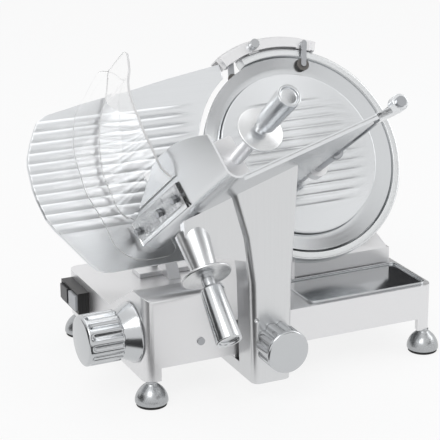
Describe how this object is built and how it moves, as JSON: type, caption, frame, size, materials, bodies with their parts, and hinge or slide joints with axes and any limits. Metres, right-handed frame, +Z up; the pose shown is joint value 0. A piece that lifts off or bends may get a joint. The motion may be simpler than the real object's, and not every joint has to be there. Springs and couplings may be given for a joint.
{
  "type": "electric food slicer",
  "caption": "Gravity-feed electric food slicer with a tilted round blade in a guard ring, ribbed gauge plate, sliding carriage and clear hand guard.",
  "frame": {"origin": "bottom centre of the outline, on the surface the feet stand on", "axes": "+X along the carriage travel towards the blade end, +Y away from the operator, +Z up"},
  "size_m": [0.482, 0.4002, 0.3804],
  "materials": {
    "cast_aluminium": "satin, blasted casting",
    "anodised_aluminium": "brushed and anodised",
    "knob_aluminium": "turned, satin",
    "stainless": "bright brushed",
    "blade_steel": "polished",
    "chromed_steel": "bright chrome",
    "zinc_steel": "plain zinc",
    "galvanised": "dull zinc sheet",
    "foot_grey": "polished casting, clear lacquer",
    "rubber": "matt",
    "black_plastic": "fine grain",
    "white_plastic": "plain",
    "board_green": "solder resist",
    "motor_enamel": "semi-gloss enamel",
    "bronze": "sintered, plain",
    "clear_guard": "clear moulded plastic",
    "handle_aluminium": "turned, satin anodised",
    "button_grey": "smooth",
    "button_dark": "smooth",
    "abrasive": "bonded grit"
  },
  "bodies": {
    "base": {"base_housing": "cast_aluminium", "bottom_plate": "galvanised", "feet": "foot_grey", "foot_pads": "rubber", "foot_studs": "zinc_steel", "deck_tray": "stainless", "blade_pedestal": "cast_aluminium", "ring_guard": "cast_aluminium", "blade_cover": "anodised_aluminium", "cover_tie_rod": "zinc_steel", "slice_deflector": "stainless", "switch_housing": "black_plastic", "cable_gland": "black_plastic", "motor": "motor_enamel", "capacitor": "white_plastic", "control_board": "board_green", "drive_belt": "rubber", "hub_bearings": "zinc_steel", "carriage_rail": "chromed_steel", "guide_bar": "chromed_steel", "rail_brackets": "cast_aluminium", "gauge_guide": "cast_aluminium", "knob_bushing": "bronze", "sharpener_body": "cast_aluminium", "housing_screws": "zinc_steel", "pedestal_screws": "zinc_steel"},
    "cover_nut": {"cover_knob": "black_plastic"},
    "blade_unit": {"blade": "blade_steel", "blade_shaft": "zinc_steel", "blade_pulley": "motor_enamel", "blade_screws": "zinc_steel"},
    "motor_rotor": {"motor_pulley": "zinc_steel"},
    "gauge": {"gauge_plate": "anodised_aluminium", "gauge_carrier": "cast_aluminium", "gauge_rod": "chromed_steel"},
    "dial": {"thickness_knob": "knob_aluminium", "dial_cone": "knob_aluminium", "dial_shaft": "zinc_steel"},
    "carriage": {"carriage_arm": "cast_aluminium", "slide_block": "cast_aluminium", "slide_bushes": "bronze", "food_table": "anodised_aluminium", "hand_guard": "clear_guard", "guard_bolts": "zinc_steel", "pusher_rod": "chromed_steel", "carriage_handle": "handle_aluminium", "carriage_disc": "knob_aluminium"},
    "arm_lock": {"arm_lock_knob": "knob_aluminium"},
    "pusher_slider": {"pusher_sleeve": "stainless"},
    "pusher": {"pusher_plate": "cast_aluminium", "pusher_handle": "handle_aluminium", "pusher_disc": "knob_aluminium"},
    "start_key": {"start_button": "button_grey"},
    "stop_key": {"stop_button": "button_dark"},
    "sharpener_clamp": {"sharpener_knob": "chromed_steel"},
    "grind_unit": {"grind_pusher": "zinc_steel"},
    "grind_stone": {"grind_wheel": "abrasive"},
    "hone_unit": {"hone_pusher": "zinc_steel"},
    "hone_stone": {"hone_wheel": "abrasive"}
  },
  "joints": [
    {"name": "cover_knob_turn", "type": "hinge", "parent": "base", "child": "cover_nut", "pos_m": [0.104, 0.16696, 0.17537], "axis": [0, -0.8329, 0.5534], "range_deg": [0, 360]},
    {"name": "blade_spin", "type": "hinge", "parent": "base", "child": "blade_unit", "pos_m": [0.104, 0.12865, 0.20083], "axis": [0, -0.8329, 0.5534], "continuous": true},
    {"name": "motor_spin", "type": "hinge", "parent": "base", "child": "motor_rotor", "pos_m": [0.124, 0.07773, 0.1242], "axis": [0, -0.8329, 0.5534], "continuous": true},
    {"name": "gauge_slide", "type": "slide", "parent": "base", "child": "gauge", "axis": [0, 0.8329, -0.5534], "range_m": [0, 0.015]},
    {"name": "dial_turn", "type": "hinge", "parent": "base", "child": "dial", "pos_m": [-0.185, -0.019, 0.078], "axis": [-1, 0, 0], "range_deg": [0, 330]},
    {"name": "carriage_slide", "type": "slide", "parent": "base", "child": "carriage", "axis": [1, 0, 0], "range_m": [-0.07, 0.185]},
    {"name": "arm_lock_turn", "type": "hinge", "parent": "carriage", "child": "arm_lock", "pos_m": [-0.023, -0.1, 0.07], "axis": [0, -1, 0], "range_deg": [0, 270]},
    {"name": "pusher_slide", "type": "slide", "parent": "carriage", "child": "pusher_slider", "axis": [0, -0.8329, 0.5534], "range_m": [-0.022, 0.15]},
    {"name": "pusher_lift", "type": "hinge", "parent": "pusher_slider", "child": "pusher", "pos_m": [0.09235, 0.00477, 0.24027], "axis": [0, 0.8329, -0.5534], "range_deg": [0, 75]},
    {"name": "start_press", "type": "slide", "parent": "base", "child": "start_key", "axis": [1, 0, 0], "range_m": [0, 0.0025], "stiffness_N_per_m": 600},
    {"name": "stop_press", "type": "slide", "parent": "base", "child": "stop_key", "axis": [1, 0, 0], "range_m": [0, 0.0025], "stiffness_N_per_m": 600},
    {"name": "sharpener_clamp_turn", "type": "hinge", "parent": "base", "child": "sharpener_clamp", "pos_m": [0.07614, 0.15965, 0.3523], "axis": [0, -0.8329, 0.5534], "range_deg": [0, 270]},
    {"name": "grind_press", "type": "slide", "parent": "base", "child": "grind_unit", "axis": [0, -0.8329, 0.5534], "range_m": [0, 0.0018], "stiffness_N_per_m": 700},
    {"name": "grind_spin", "type": "hinge", "parent": "grind_unit", "child": "grind_stone", "pos_m": [0.04437, 0.1532, 0.31368], "axis": [0, -0.8329, 0.5534], "continuous": true},
    {"name": "hone_press", "type": "slide", "parent": "base", "child": "hone_unit", "axis": [0, 0.8329, -0.5534], "range_m": [0, 0.0022], "stiffness_N_per_m": 700},
    {"name": "hone_spin", "type": "hinge", "parent": "hone_unit", "child": "hone_stone", "pos_m": [0.13821, 0.14592, 0.32369], "axis": [0, -0.8329, 0.5534], "continuous": true}
  ],
  "couplings": [
    {"joint": "motor_spin", "follows": "blade_spin", "ratio": 2.125},
    {"joint": "dial_turn", "follows": "gauge_slide", "rad_per_m": 383.97}
  ]
}
